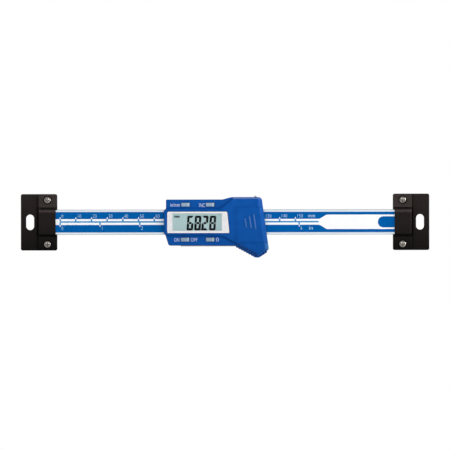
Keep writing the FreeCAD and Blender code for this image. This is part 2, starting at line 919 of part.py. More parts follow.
def battery_cell():
    can = cell_back + cell_cap_height
    return lathe([(0.0, cell_back), (cell_cap_radius, cell_back), (cell_cap_radius, can),
                  (cell_radius - cell_rim, can), (cell_radius, can + cell_rim),
                  (cell_radius, cell_front - cell_rim), (cell_radius - cell_rim, cell_front),
                  (0.0, cell_front)], slider(cell_place), cell_z)


def leaf(points, low, high):
    """Bent strip: an outline of (x, depth) points given a width in z."""
    outline = Part.makePolygon([at(x, depth, low) for x, depth in points + points[:1]])
    return Part.Face(outline).extrude(up * (high - low))


def battery_contact_negative():
    x, z = slider(cell_place), cell_z
    foot = board_front + contact_thickness
    under = cell_back - contact_thickness
    points = [(x - cell_cap_radius, board_front), (x, board_front), (x + contact_knee, under),
              (x + cell_cap_radius, under), (x + cell_cap_radius, cell_back), (x + contact_knee, cell_back),
              (x, foot), (x - cell_cap_radius, foot)]
    return leaf(points, z - contact_width / 2, z + contact_width / 2)


def battery_contact_positive():
    face = slider(cell_place) - cell_radius
    back = face - contact_thickness
    foot = back - wall
    top = cell_front - cell_rim - floor_thickness
    points = [(foot, board_front), (face, board_front), (face, top), (back, top),
              (back, board_front + contact_thickness), (foot, board_front + contact_thickness)]
    return leaf(points, cell_z - contact_width / 2, cell_z + contact_width / 2)


def pieces():
    base, clamp, screws = bracket_base(), bracket_clamp(), clamp_screws()
    shapes = {"beam": beam(), "scale_grid": grid_strip(grid_back, grid_front),
              "scale_label": grid_strip(grid_front, label_front),
              "left_bracket_base": base, "right_bracket_base": mirrored(base),
              "left_bracket_clamp": clamp, "right_bracket_clamp": mirrored(clamp),
              "left_clamp_screws": screws, "right_clamp_screws": mirrored(screws),
              "slider_frame": slider_frame(), "gib_strip": gib_strip(), "gib_screws": gib_screws(),
              "lock_screw": lock_screw(), "housing": housing(), "housing_screws": housing_screws(),
              "main_board": main_board(), "board_screws": board_screws(),
              "controller_chip": controller_chip(), "key_domes": key_domes(),
              "zebra_strips": zebra_strips(), "lcd_panel": lcd_panel(), "lcd_mask": lcd_mask(),
              "display_lens": display_lens(), "battery_cell": battery_cell(),
              "battery_contact_negative": battery_contact_negative(),
              "battery_contact_positive": battery_contact_positive(), "battery_door": battery_door()}
    shapes.update({name: push_button(name) for name in button_places})
    return shapes


os.makedirs("parts", exist_ok=True)
for name, shape in pieces().items():
    shape.exportStep(f"parts/{name}.step")
    print(name, "solids", len(shape.Solids), "valid", shape.isValid(), "volume", round(shape.Volume, 1))
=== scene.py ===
import bpy
import json
import math
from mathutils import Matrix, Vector


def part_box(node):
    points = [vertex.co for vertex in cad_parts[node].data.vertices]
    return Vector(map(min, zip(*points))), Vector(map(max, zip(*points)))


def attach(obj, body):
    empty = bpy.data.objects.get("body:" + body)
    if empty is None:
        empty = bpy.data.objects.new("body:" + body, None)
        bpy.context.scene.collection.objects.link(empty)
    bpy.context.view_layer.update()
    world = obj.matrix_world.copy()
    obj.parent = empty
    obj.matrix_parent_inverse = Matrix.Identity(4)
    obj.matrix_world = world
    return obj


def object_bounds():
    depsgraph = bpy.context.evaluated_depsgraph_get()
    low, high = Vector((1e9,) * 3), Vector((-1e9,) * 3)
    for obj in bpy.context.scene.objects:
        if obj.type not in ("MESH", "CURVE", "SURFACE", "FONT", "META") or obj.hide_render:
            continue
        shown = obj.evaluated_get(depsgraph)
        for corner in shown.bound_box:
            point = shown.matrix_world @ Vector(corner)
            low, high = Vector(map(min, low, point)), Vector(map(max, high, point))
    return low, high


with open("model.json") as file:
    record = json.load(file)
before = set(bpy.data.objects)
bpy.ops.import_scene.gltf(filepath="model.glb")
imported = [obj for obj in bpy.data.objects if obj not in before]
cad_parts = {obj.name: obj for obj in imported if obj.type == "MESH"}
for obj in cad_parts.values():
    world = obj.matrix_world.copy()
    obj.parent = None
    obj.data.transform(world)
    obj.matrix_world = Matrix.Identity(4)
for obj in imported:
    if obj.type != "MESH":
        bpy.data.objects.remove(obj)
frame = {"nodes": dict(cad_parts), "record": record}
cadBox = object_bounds()
mm = 0.001
near = 0.05           # mm: points this close to a place count as being there
weldWithin = 0.0005   # mm: points this close are merged
cutWithin = 0.0001    # mm: how closely a cut follows its plane


def clearSelection():
    if bpy.context.object and bpy.context.object.mode != "OBJECT":
        bpy.ops.object.mode_set(mode="OBJECT")
    bpy.ops.object.select_all(action="DESELECT")


def frontDepth(node):  # how far a node's front lies from the mounting face, in mm
    return -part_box(node)[0].y / mm


# finishes: procedural, on object coordinates
plainLook = {"stretch": (1, 1, 1), "heightShades": (), "bumpDepth": 0.02, "specular": 0.5, "metal": 0,
             "anisotropic": 0, "alpha": 1}   # what a finish has unless it says otherwise
clouds = {"detail": 4, "darkUpTo": 0.3, "lightFrom": 0.7}   # soft mottling of the tone
grainDetail = 2


def newMaterial(name):
    material = bpy.data.materials.new(name)
    material.use_nodes = True
    nodes = material.node_tree.nodes
    return material, nodes, material.node_tree.links, nodes["Principled BSDF"]


def patternPoints(nodes, links, stretch):  # object coordinates, stretched for brushed or even grain
    place = nodes.new("ShaderNodeTexCoord")
    mapping = nodes.new("ShaderNodeMapping")
    mapping.inputs["Scale"].default_value = stretch
    links.new(place.outputs["Object"], mapping.inputs["Vector"])
    return mapping.outputs["Vector"]


def addNoise(nodes, links, points, scale, detail):
    noise = nodes.new("ShaderNodeTexNoise")
    noise.inputs["Scale"].default_value = scale
    noise.inputs["Detail"].default_value = detail
    links.new(points, noise.inputs["Vector"])
    return noise.outputs["Fac"]


def between(nodes, links, share, low, high):  # low where share is 0 and high where it is 1
    pick = nodes.new("ShaderNodeMapRange")
    links.new(share, pick.inputs["Value"])
    for socket, value in (("To Min", low), ("To Max", high)):
        if isinstance(value, float):
            pick.inputs[socket].default_value = value
        else:
            links.new(value, pick.inputs[socket])
    return pick.outputs["Result"]


def ramp(nodes, links, value, start, end, low, high):  # from low at start to high at end
    slope = nodes.new("ShaderNodeMapRange")
    for socket, level in (("From Min", start), ("From Max", end), ("To Min", low), ("To Max", high)):
        slope.inputs[socket].default_value = level
    links.new(value, slope.inputs["Value"])
    return slope.outputs["Result"]


def worked(nodes, links, operation, *values):  # one step of plain arithmetic
    step = nodes.new("ShaderNodeMath")
    step.operation = operation
    for socket, value in zip(step.inputs, values):
        links.new(value, socket)
    return step.outputs["Value"]


def scaled(nodes, links, colour, amount):
    product = nodes.new("ShaderNodeVectorMath")
    product.operation = "SCALE"
    links.new(colour, product.inputs["Vector"])
    links.new(amount, product.inputs["Scale"])
    return product.outputs["Vector"]


def reachAlong(nodes, links, direction):  # how far a point lies along a direction, in metres
    place = nodes.new("ShaderNodeTexCoord")
    reach = nodes.new("ShaderNodeVectorMath")
    reach.operation = "DOT_PRODUCT"
    reach.inputs[1].default_value = direction
    links.new(place.outputs["Object"], reach.inputs[0])
    return reach.outputs["Value"]


def paintCreviceShade(nodes, links, colour, crevice):  # painted shade that darkens corners, grooves and recesses, where less light reaches
    corner = nodes.new("ShaderNodeAmbientOcclusion")
    corner.only_local = crevice["ownOnly"]
    corner.inputs["Distance"].default_value = crevice["reach"] * mm
    keep = ramp(nodes, links, corner.outputs["AO"], crevice["from"], 1.0, crevice["keep"], 1.0)
    if "lessShade" in crevice:  # less of it above and below the middle
        start, end, share = crevice["lessShade"]
        height = worked(nodes, links, "ABSOLUTE", reachAlong(nodes, links, (0, 0, 1)))
        eased = ramp(nodes, links, height, start * mm, end * mm, 0, share)
        keep = between(nodes, links, eased, keep, 1.0)
    return scaled(nodes, links, colour, keep)


def paintHighlight(nodes, links, colour, highlight):  # painted light: paler further along a direction, for a lit side and for highlights
    reach = reachAlong(nodes, links, highlight["along"])
    litShare = ramp(nodes, links, reach, highlight["from"] * mm, highlight["to"] * mm, 0, highlight["amount"])
    mix = nodes.new("ShaderNodeMix")
    mix.data_type = "RGBA"
    before, after = [socket for socket in mix.inputs if socket.type == "RGBA"]
    after.default_value = (*highlight["tone"], 1)
    links.new(litShare, mix.inputs["Factor"])
    links.new(colour, before)
    return next(socket for socket in mix.outputs if socket.type == "RGBA")


def shadedRim(nodes, links, colour, rim):  # a dark line along the outline of a key, where its gap begins
    place = nodes.new("ShaderNodeTexCoord")
    point = place.outputs["Object"]
    for operation, value in (("SUBTRACT", rim["middle"]), ("ABSOLUTE", None), ("SUBTRACT", rim["half"])):
        step = nodes.new("ShaderNodeVectorMath")
        step.operation = operation
        links.new(point, step.inputs[0])
        if value is not None:
            step.inputs[1].default_value = value
        point = step.outputs["Vector"]
    axes = nodes.new("ShaderNodeSeparateXYZ")
    links.new(point, axes.inputs["Vector"])
    past = worked(nodes, links, "MAXIMUM", axes.outputs["X"], axes.outputs["Z"])  # past the unshaded middle
    shade = ramp(nodes, links, past, 0, rim["soft"] * mm, 1, rim["keep"])
    return scaled(nodes, links, colour, shade)


def paintShadeByHeight(nodes, links, colour, fade):  # painted light and shade: the tone changes from one height to another
    low, high = fade["heights"]
    tone = ramp(nodes, links, reachAlong(nodes, links, (0, 0, 1)), low * mm, high * mm, *fade["amounts"])
    return scaled(nodes, links, colour, tone)


def finish(name, ownLook):
    look = {**plainLook, **ownLook}
    material, nodes, links, shader = newMaterial(name)
    points = patternPoints(nodes, links, look["stretch"])
    cloud = addNoise(nodes, links, points, look["cloudScale"], clouds["detail"])
    tones = nodes.new("ShaderNodeValToRGB")
    tones.color_ramp.elements[0].position = clouds["darkUpTo"]
    tones.color_ramp.elements[1].position = clouds["lightFrom"]
    tones.color_ramp.elements[0].color = (*look["dark"], 1)
    tones.color_ramp.elements[1].color = (*look["light"], 1)
    links.new(cloud, tones.inputs["Fac"])
    colour = tones.outputs["Color"]
    if "highlight" in look:
        colour = paintHighlight(nodes, links, colour, look["highlight"])
    for fade in look["heightShades"]:
        colour = paintShadeByHeight(nodes, links, colour, fade)
    if "rim" in look:
        colour = shadedRim(nodes, links, colour, look["rim"])
    if "crevice" in look:
        colour = paintCreviceShade(nodes, links, colour, look["crevice"])
    links.new(colour, shader.inputs["Base Color"])
    links.new(ramp(nodes, links, cloud, 0, 1, *look["rough"]), shader.inputs["Roughness"])
    grain = addNoise(nodes, links, points, look["grainScale"], grainDetail)
    bump = nodes.new("ShaderNodeBump")
    bump.inputs["Strength"].default_value = look["bump"]
    bump.inputs["Distance"].default_value = look["bumpDepth"] * mm
    links.new(grain, bump.inputs["Height"])
    links.new(bump.outputs["Normal"], shader.inputs["Normal"])
    shader.inputs["Specular IOR Level"].default_value = look["specular"]
    shader.inputs["Metallic"].default_value = look["metal"]
    shader.inputs["Anisotropic"].default_value = look["anisotropic"]
    shader.inputs["Alpha"].default_value = look["alpha"]
    return material


brushedAlong = (12, 500, 500)   # long streaks along the beam
# painted shade: darker towards the bottom, and darker in corners and beside the keys
blue = {"dark": (0.0021, 0.071, 0.322), "light": (0.0034, 0.0825, 0.357), "rough": (0.4, 0.52),
        "specular": 0.05, "cloudScale": 260, "grainScale": 6500, "bump": 0.18, "bumpDepth": 0.03,
        "heightShades": [{"heights": (-18, 0), "amounts": (0.84, 1.0)}],
        "crevice": {"ownOnly": False, "reach": 1.3, "from": 0.3, "keep": 0.5}}
# painted shade: dark in grooves, gaps and corners
black = {"dark": (0.0113, 0.0088, 0.0082), "light": (0.0164, 0.0132, 0.0124), "rough": (0.5, 0.66),
         "specular": 0.03, "cloudScale": 1900, "grainScale": 5200, "bump": 0.4, "bumpDepth": 0.06,
         "crevice": {"ownOnly": False, "reach": 2.4, "from": 0.52, "keep": 0.02}}
faceDepth, ribDepth = frontDepth("housing"), frontDepth("battery_door")
ribEase = 0.08   # mm: the ribs' painted highlight starts and ends this far inside their height
finishes = {
    "satinSteel": {"dark": (0.61, 0.67, 0.735), "light": (0.75, 0.805, 0.865), "rough": (0.28, 0.42),
                   "metal": 1, "anisotropic": 0.3, "stretch": brushedAlong, "cloudScale": 3,
                   "grainScale": 9, "bump": 0.12},
    # partly a darker steel and partly painted shade on the carriage's lower edges
    "frameSteel": {"dark": (0.25, 0.26, 0.28), "light": (0.40, 0.41, 0.43), "rough": (0.3, 0.45),
                   "metal": 1, "anisotropic": 0.3, "stretch": brushedAlong, "cloudScale": 3,
                   "grainScale": 9, "bump": 0.15},
    # painted shade in the screws' cross recesses
    "brightScrews": {"dark": (0.13, 0.118, 0.105), "light": (0.36, 0.335, 0.305), "rough": (0.2, 0.36),
                     "metal": 1, "cloudScale": 900, "grainScale": 4000, "bump": 0.12,
                     "crevice": {"ownOnly": True, "reach": 0.8, "from": 0.35, "keep": 0.04}},
    "darkScrew": {"dark": (0.25, 0.26, 0.27), "light": (0.46, 0.47, 0.49), "rough": (0.3, 0.45),
                  "metal": 1, "cloudScale": 900, "grainScale": 4000, "bump": 0.1},
    # painted light and shade: lighter towards the top, and less painted crevice shade above and below the
    # grooves
    "blackBracket": {**black, "heightShades": [{"heights": (-18, 18), "amounts": (0.45, 1.45)}],
                     "crevice": {**black["crevice"], "lessShade": (9.0, 10.2, 0.7)}},
    # painted light and shade: darker towards the bottom, lighter from the hood's top edge up, brightest along
    # that edge
    "blackClamp": {**black, "heightShades": [{"heights": (-18, 0), "amounts": (0.2, 1.0)},
                                       {"heights": (5.9, 6.8), "amounts": (1.0, 3.4)},
                                       {"heights": (8.2, 9.2), "amounts": (1.0, 0.74)}]},
    # painted light: the right flank is paler, standing in for light from the right
    "blueHousing": {**blue, "highlight": {"along": (1, 0, 0.05), "from": 148.6, "to": 151.2, "amount": 0.16,
                                     "tone": (0.25, 0.80, 1.0)}},
    # painted highlight along the crests of the door's ribs
    "blueDoor": {**blue, "highlight": {"along": (0, -1, 0), "from": faceDepth + ribEase, "to": ribDepth - ribEase,
                                  "amount": 0.6, "tone": (0.075, 0.19, 0.48)}},
    # painted light and shade: the upper keys lighter, the lower keys darker
    "greyKeys": {"dark": (0.235, 0.335, 0.448), "light": (0.292, 0.386, 0.50), "rough": (0.42, 0.56),
                 "specular": 0.15, "cloudScale": 900, "grainScale": 5200, "bump": 0.12,
                 "heightShades": [{"heights": (-12, 12), "amounts": (0.89, 1.05)}]},
    "labelFilm": {"dark": (0.89, 0.90, 0.91), "light": (0.93, 0.94, 0.945), "rough": (0.3, 0.4),
                  "specular": 0.1, "cloudScale": 350, "grainScale": 3500, "bump": 0.04},
    "blueInk": {"dark": (0.0004, 0.099, 0.352), "light": (0.0008, 0.107, 0.374), "rough": (0.4, 0.5),
                "specular": 0.01, "cloudScale": 420, "grainScale": 4200, "bump": 0.05},
    "lineInk": {"dark": (0.028, 0.235, 0.53), "light": (0.044, 0.275, 0.58), "rough": (0.4, 0.5),
                "specular": 0.02, "cloudScale": 420, "grainScale": 4200, "bump": 0.05},
    "whiteInk": {"dark": (0.80, 0.85, 0.90), "light": (0.88, 0.91, 0.94), "rough": (0.4, 0.5),
                 "specular": 0.1, "cloudScale": 900, "grainScale": 5200, "bump": 0.05},
    "numberInk": {"dark": (0.50, 0.74, 0.86), "light": (0.58, 0.80, 0.90), "rough": (0.4, 0.5),
                  "specular": 0.1, "cloudScale": 900, "grainScale": 5200, "bump": 0.05},
    "legendInk": {"dark": (0.60, 0.63, 0.78), "light": (0.72, 0.75, 0.88), "rough": (0.45, 0.55),
                  "specular": 0.1, "cloudScale": 900, "grainScale": 5200, "bump": 0.05},
    "circuitLaminate": {"dark": (0.02, 0.10, 0.035), "light": (0.05, 0.21, 0.07), "rough": (0.35, 0.5),
                        "cloudScale": 800, "grainScale": 5000, "bump": 0.1},
    "whiteMask": {"dark": (0.71, 0.71, 0.73), "light": (0.76, 0.75, 0.77), "rough": (0.5, 0.6),
                  "specular": 0.1, "cloudScale": 300, "grainScale": 5000, "bump": 0.04},
    # painted highlight along the window's bevelled rim
    "brightRim": {"dark": (0.95, 0.90, 0.85), "light": (0.99, 0.94, 0.89), "rough": (0.4, 0.5),
                  "specular": 0.1, "cloudScale": 500, "grainScale": 5000, "bump": 0.04},
    "seamShade": {"dark": (0.002, 0.02, 0.11), "light": (0.003, 0.03, 0.14), "rough": (0.5, 0.6),
                  "specular": 0.02, "cloudScale": 500, "grainScale": 5000, "bump": 0.04},
    "lcdGlass": {"dark": (0.407, 0.564, 0.575), "light": (0.449, 0.606, 0.617), "rough": (0.25, 0.32),
                 "specular": 0.05, "cloudScale": 140, "grainScale": 9000, "bump": 0.02},
    "lcdSegment": {"dark": (0.0015, 0.0017, 0.002), "light": (0.004, 0.0043, 0.0046), "rough": (0.4, 0.5),
                   "specular": 0.02, "cloudScale": 700, "grainScale": 6000, "bump": 0.02},
    "clearLens": {"dark": (0.08, 0.10, 0.11), "light": (0.11, 0.13, 0.14), "rough": (0.04, 0.08),
                  "specular": 0.04, "alpha": 0.03, "cloudScale": 90, "grainScale": 2500, "bump": 0.01},
    "contactRubber": {"dark": (0.16, 0.16, 0.18), "light": (0.30, 0.30, 0.32), "rough": (0.7, 0.85),
                      "stretch": (6, 1, 1), "cloudScale": 900, "grainScale": 4000, "bump": 0.2},
    "epoxyBlack": {"dark": (0.006, 0.006, 0.007), "light": (0.014, 0.014, 0.015), "rough": (0.18, 0.3),
                   "cloudScale": 500, "grainScale": 3000, "bump": 0.1},
    "springSteel": {"dark": (0.52, 0.49, 0.42), "light": (0.70, 0.67, 0.60), "rough": (0.22, 0.34),
                    "metal": 1, "stretch": brushedAlong, "cloudScale": 4, "grainScale": 9, "bump": 0.08},
    "gibBrass": {"dark": (0.46, 0.30, 0.08), "light": (0.68, 0.48, 0.16), "rough": (0.26, 0.4),
                 "metal": 1, "stretch": brushedAlong, "cloudScale": 4, "grainScale": 9, "bump": 0.1},
    "cellSteel": {"dark": (0.56, 0.56, 0.54), "light": (0.72, 0.72, 0.70), "rough": (0.16, 0.28),
                  "metal": 1, "cloudScale": 500, "grainScale": 3000, "bump": 0.06},
}
keys = {"nodes": ("unit_button", "mode_button", "power_button", "zero_button"), "length": 5.7,
        "shift": Vector((-0.12, 0, -0.05)), "half": Vector((2.53, 0, 1.13)), "soft": 0.12, "keep": 0.1,
        "glowStart": 1.75, "glowEnd": 1.25, "glow": 0.5, "glowTone": (0.50, 0.64, 0.80)}
for node in keys["nodes"]:  # each key gets painted shade along its outline and a painted highlight at its right end
    middle = sum(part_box(node), Vector()) / 2
    right = middle.x / mm + keys["length"] / 2
    outline = {"middle": middle + keys["shift"] * mm, "half": keys["half"] * mm,
               "soft": keys["soft"], "keep": keys["keep"]}
    rightHighlight = {"along": (1, 0, 0), "from": right - keys["glowStart"], "to": right - keys["glowEnd"],
               "amount": keys["glow"], "tone": keys["glowTone"]}
    finishes[node] = {**finishes["greyKeys"], "rim": outline, "highlight": rightHighlight}
materials = {name: finish(name, look) for name, look in finishes.items()}

slotFinishes = {  # the record's slot, and the finish its nodes get
    "satin_steel": "satinSteel", "bright_screws": "brightScrews", "black_bracket": "blackBracket",
    "blue_housing": "blueHousing", "grey_keys": "greyKeys", "printed_label": "labelFilm",
    "circuit_laminate": "circuitLaminate", "clear_lens": "clearLens", "white_mask": "whiteMask",
    "lcd_glass": "lcdGlass", "contact_rubber": "contactRubber", "epoxy_black": "epoxyBlack",
    "spring_steel": "springSteel", "gib_brass": "gibBrass", "cell_steel": "cellSteel",
}
ownFinishes = {  # nodes that differ from the rest of their slot
    "battery_door": "blueDoor", "slider_frame": "frameSteel", "lock_screw": "darkScrew",
    "left_bracket_clamp": "blackClamp", "right_bracket_clamp": "blackClamp",
    **{node: node for node in keys["nodes"]},
}
for subpart in frame["record"]["subparts"]:
    node = frame["nodes"][subpart["node"]]
    node.data.materials.clear()
    finishName = ownFinishes.get(subpart["node"], slotFinishes[subpart["material_slot"]])
    node.data.materials.append(materials[finishName])
print("finishes on", len(frame["nodes"]), "nodes")

# flat print, as thin raised ink
inkRise = 0.03     # mm
inkOffset = 0.4    # which side of its plane the ink thickens to: a little of it is sunk
letterSteps = 3    # straight steps along each curve of a letter


def flatPatch(left, right, low, high, depth):  # a plane that faces the reader
    clearSelection()
    middle = ((left + right) / 2 * mm, -depth * mm, (low + high) / 2 * mm)
    bpy.ops.mesh.primitive_plane_add(size=1, location=middle, rotation=(math.pi / 2, 0, 0))
    patch = bpy.context.object
    patch.scale = ((right - left) * mm, (high - low) * mm, 1)
    bpy.ops.object.transform_apply(location=True, rotation=True, scale=True)
    return patch


def everywhere(x, z):
    return True


def selectPoints(piece, wanted):  # picks the vertices whose place in mm the test accepts
    bpy.ops.object.mode_set(mode="EDIT")
    bpy.ops.mesh.select_mode(type="VERT")
    bpy.ops.mesh.select_all(action="DESELECT")
    bpy.ops.object.mode_set(mode="OBJECT")
    for vertex in piece.data.vertices:
        vertex.select = wanted(vertex.co.x / mm, vertex.co.z / mm)
    bpy.ops.object.mode_set(mode="EDIT")


def roundPoints(piece, wanted, radius, segments):
    selectPoints(piece, wanted)
    bpy.ops.mesh.bevel(offset=radius * mm, segments=segments, affect="VERTICES")
    bpy.ops.object.mode_set(mode="OBJECT")


def applyModifier(piece, modifier):
    bpy.context.view_layer.objects.active = piece
    bpy.ops.object.modifier_apply(modifier=modifier.name)


def thicken(piece):  # gives the ink its thickness
    modifier = piece.modifiers.new("ink", "SOLIDIFY")
    modifier.thickness = inkRise * mm
    modifier.offset = inkOffset
    applyModifier(piece, modifier)


def repeat(piece, count, step):
    modifier = piece.modifiers.new("row", "ARRAY")
    modifier.count = count
    modifier.use_relative_offset = False
    modifier.use_constant_offset = True
    modifier.constant_offset_displace = (step * mm, 0, 0)
    applyModifier(piece, modifier)


def joinAs(name, parts):
    clearSelection()
    for part in parts:
        part.select_set(True)
    bpy.context.view_layer.objects.active = parts[0]
    if len(parts) > 1:
        bpy.ops.object.join()
    piece = bpy.context.object
    piece.name = piece.data.name = name
    return piece


def closeUp(piece):  # merges doubled points and turns the faces outwards
    clearSelection()
    piece.select_set(True)
    bpy.context.view_layer.objects.active = piece
    bpy.ops.object.mode_set(mode="EDIT")
    bpy.ops.mesh.select_all(action="SELECT")
    bpy.ops.mesh.remove_doubles(threshold=weldWithin * mm)
    bpy.ops.mesh.normals_make_consistent(inside=False)
    bpy.ops.object.mode_set(mode="OBJECT")


def mount(piece, material, body):
    closeUp(piece)
    piece.data.materials.clear()
    piece.data.materials.append(materials[material])
    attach(piece, body)
    return piece


def letters(word, left, base, depth, scale, bolder):  # text as a mesh that faces the reader
    clearSelection()
    bpy.ops.object.text_add(location=(left * mm, -depth * mm, base * mm), rotation=(math.pi / 2, 0, 0))
    piece = bpy.context.object
    piece.data.body = word
    piece.data.size = mm
    piece.data.resolution_u = letterSteps
    piece.data.extrude = inkRise / 2 * mm
    piece.data.offset = bolder * mm
    bpy.ops.object.convert(target="MESH")
    piece = bpy.context.object
    piece.scale = (scale[0], scale[1], 1)
    bpy.ops.object.transform_apply(location=True, rotation=True, scale=True)
    return piece


def fitLetters(word, left, right, base, high, depth, bolder):  # text stretched to a measured box
    piece = letters(word, 0, 0, depth, (1, 1), bolder)
    xs = [vertex.co.x for vertex in piece.data.vertices]
    zs = [vertex.co.z for vertex in piece.data.vertices]
    wide = (right - left) * mm / (max(xs) - min(xs))
    tall = (high - base) * mm / (max(zs) - min(zs))
    piece.scale = (wide, 1, tall)
    piece.location = (left * mm - min(xs) * wide, 0, base * mm - min(zs) * tall)
    bpy.ops.object.transform_apply(location=True, rotation=True, scale=True)
    return piece


labelDepth = frontDepth("scale_label")
labelLow, labelHigh = (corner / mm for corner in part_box("scale_label"))
bands = {"inner": (2.0, -1.75), "line": (4.7, -4.55), "margin": 0.03, "overprint": 0.1, "taperStart": 184.6,
         "taperEnd": 189.1, "taperRound": 0.8, "roundSegments": 4, "flatWithin": 1}


def printBand(inner, outer, line):
    left, right = labelLow.x + bands["margin"], labelHigh.x - bands["margin"]
    patch = flatPatch(left, bands["taperStart"], min(inner, outer), max(inner, outer), labelDepth)
    selectPoints(patch, lambda x, z: x > bands["taperStart"] - near)
    step = (bands["taperEnd"] - bands["taperStart"]) * mm
    bpy.ops.mesh.extrude_region_move(TRANSFORM_OT_translate={"value": (step, 0, 0)})
    run = (right - bands["taperEnd"]) * mm
    bpy.ops.mesh.extrude_region_move(TRANSFORM_OT_translate={"value": (run, 0, 0)})
    bpy.ops.object.mode_set(mode="OBJECT")
    for vertex in patch.data.vertices:  # the inner edge steps out to the thin line
        if vertex.co.x / mm > bands["taperStart"] + near and abs(vertex.co.z / mm - inner) < near:
            vertex.co.z = line * mm
    selectPoints(patch, everywhere)
    bpy.ops.mesh.dissolve_limited(angle_limit=math.radians(bands["flatWithin"]))
    bpy.ops.object.mode_set(mode="OBJECT")
    turns = (bands["taperStart"], bands["taperEnd"])
    roundPoints(patch, lambda x, z: min(abs(x - turn) for turn in turns) < near < abs(z - outer),
                bands["taperRound"], bands["roundSegments"])
    thicken(patch)
    return patch


upperBand = printBand(bands["inner"][0], labelHigh.z + bands["overprint"], bands["line"][0])
lowerBand = printBand(bands["inner"][1], labelLow.z - bands["overprint"], bands["line"][1])
mount(joinAs("scaleBands", [upperBand, lowerBand]), "blueInk", "beam_assembly")

ruler = {"zero": 19.2, "millimetres": (16, 10.0), "inches": (7, 25.4), "tickWidth": 1.0, "lineLow": -0.29,
         "lineHigh": 0.66, "lineEnd": 184.0, "endRound": 0.15, "endSegments": 3, "notch": 1.25,
         "notchWidth": 0.8, "tipWidth": 0.3}


def tickRow(low, high, count, step, pointed):  # pointed 0 for plain ticks, 1 or -1 for the way the tips face
    width = ruler["notchWidth"] if pointed else ruler["tickWidth"]
    depth = labelDepth + inkRise if pointed else labelDepth
    tick = flatPatch(ruler["zero"] - width / 2, ruler["zero"] + width / 2, low, high, depth)
    tip = high if pointed > 0 else low
    if pointed:  # the light part of a tick narrows into the band
        selectPoints(tick, lambda x, z: abs(z - tip) < near)
        bpy.ops.transform.resize(value=(ruler["tipWidth"] / ruler["notchWidth"], 1, 1))
        bpy.ops.object.mode_set(mode="OBJECT")
    thicken(tick)
    repeat(tick, count, step)
    return tick


upperEdge, lowerEdge = bands["inner"]
centreLine = flatPatch(ruler["zero"], ruler["lineEnd"], ruler["lineLow"], ruler["lineHigh"], labelDepth)
roundPoints(centreLine, lambda x, z: x > ruler["lineEnd"] - near, ruler["endRound"], ruler["endSegments"])
thicken(centreLine)
blueTicks = [centreLine, tickRow(ruler["lineHigh"], upperEdge, *ruler["millimetres"], 0),
             tickRow(lowerEdge, ruler["lineLow"], *ruler["inches"], 0)]
mount(joinAs("rulerLines", blueTicks), "lineInk", "beam_assembly")
whiteTicks = [tickRow(upperEdge, upperEdge + ruler["notch"], *ruler["millimetres"], 1),
              tickRow(lowerEdge - ruler["notch"], lowerEdge, *ruler["inches"], -1)]
mount(joinAs("rulerNotches", whiteTicks), "whiteInk", "beam_assembly")

numbers = {"scale": (2.75, 3.3), "gap": 0.7, "bolder": -0.021, "unitBolder": -0.012}
numberRows = {"millimetres": {"base": 2.8, "each": 10}, "inches": {"base": -4.85, "each": 1}}
unitWords = {"mm": (177.3, 181.6, 2.9, 4.5), "in": (178.0, 180.3, -4.85, -2.75)}   # left, right, base, top
numberDepth = labelDepth + inkRise
marks = []
for rowName, row in numberRows.items():
    count, step = ruler[rowName]
    for place in range(count):
        start = ruler["zero"] + place * step + numbers["gap"]
        figure = str(place * row["each"])
        marks.append(letters(figure, start, row["base"], numberDepth, numbers["scale"], numbers["bolder"]))
for word, (left, right, base, high) in unitWords.items():
    marks.append(fitLetters(word, left, right, base, high, numberDepth, numbers["unitBolder"]))
mount(joinAs("rulerNumbers", marks), "numberInk", "beam_assembly")

endTab = {"left": 221.8, "half": 3.55, "corner": 3.4, "segments": 12}
tab = flatPatch(endTab["left"], labelHigh.x - bands["margin"], -endTab["half"], endTab["half"], labelDepth)
roundPoints(tab, lambda x, z: x < endTab["left"] + near, endTab["corner"], endTab["segments"])
thicken(tab)
mount(joinAs("scaleEndTab", [tab]), "blueInk", "beam_assembly")
print("scale printed")

# words beside the buttons
keysProud = 0.5   # mm that the keys stand over their strips
stripDepth = frontDepth("unit_button") - keysProud
legends = {  # word, left, right, base, top, and how much bolder than the plain letters
    "legendUnit": ("in/mm", 89.6, 95.5, 9.8, 12.4, -0.008),
    "legendMode": ("INC", 107.85, 111.55, 9.6, 11.95, -0.005),
    "legendOn": ("ON", 92.0, 95.1, -12.4, -10.1, -0.01),
    "legendOff": ("OFF", 102.5, 106.7, -12.42, -10.12, -0.015),
    "legendZero": ("0", 118.6, 120.3, -12.35, -9.95, -0.018),
}
for name, (word, left, right, base, high, bolder) in legends.items():
    piece = fitLetters(word, left, right, base, high, stripDepth, bolder)
    mount(joinAs(name, [piece]), "legendInk", "slider")
print("button words printed")

# the reading on the display
digits = {"reading": "68.28", "places": (99.75, 104.6, 109.15, 114.05), "base": -5.3, "width": 4.15,
          "height": 9.37, "upright": 1.48, "level": 1.4, "gap": 0.06, "notch": 0.3, "lean": 0.065,
          "clip": 0.6}
mitres = {"level": 0.97, "middle": 0.49, "middleInset": 0.6, "outerEnd": 0.97,
          "middleEnd": 0.55}   # as shares of a bar's width
point = {"left": 108.75, "size": 0.75, "round": 0.3, "segments": 2}
segmentsOf = {"2": "abged", "6": "afgedc", "8": "abcdefg"}
glassDepth = frontDepth("lcd_panel")


def displayBar(left, right, low, high, cuts):  # one bar, with its inner corners cut by the given sizes
    bar = flatPatch(left, right, low, high, glassDepth)
    for (x, z), size in cuts:
        roundPoints(bar, lambda px, pz: abs(px - x) < near and abs(pz - z) < near, size, 1)
    return bar


def levelBar(place, low, inward):  # top, middle or bottom bar: inward -1, 0 or 1
    high = low + digits["level"]
    inset = digits["gap"] if inward else digits["upright"] * mitres["middleInset"]
    left, right = place + inset, place + digits["width"] - inset
    size = digits["level"] * (mitres["level"] if inward else mitres["middle"])
    corners = [(x, z) for x in (left, right) for z in (low, high)
               if inward == 0 or (z == high) == (inward > 0)]
    return displayBar(left, right, low, high, [(corner, size) for corner in corners])


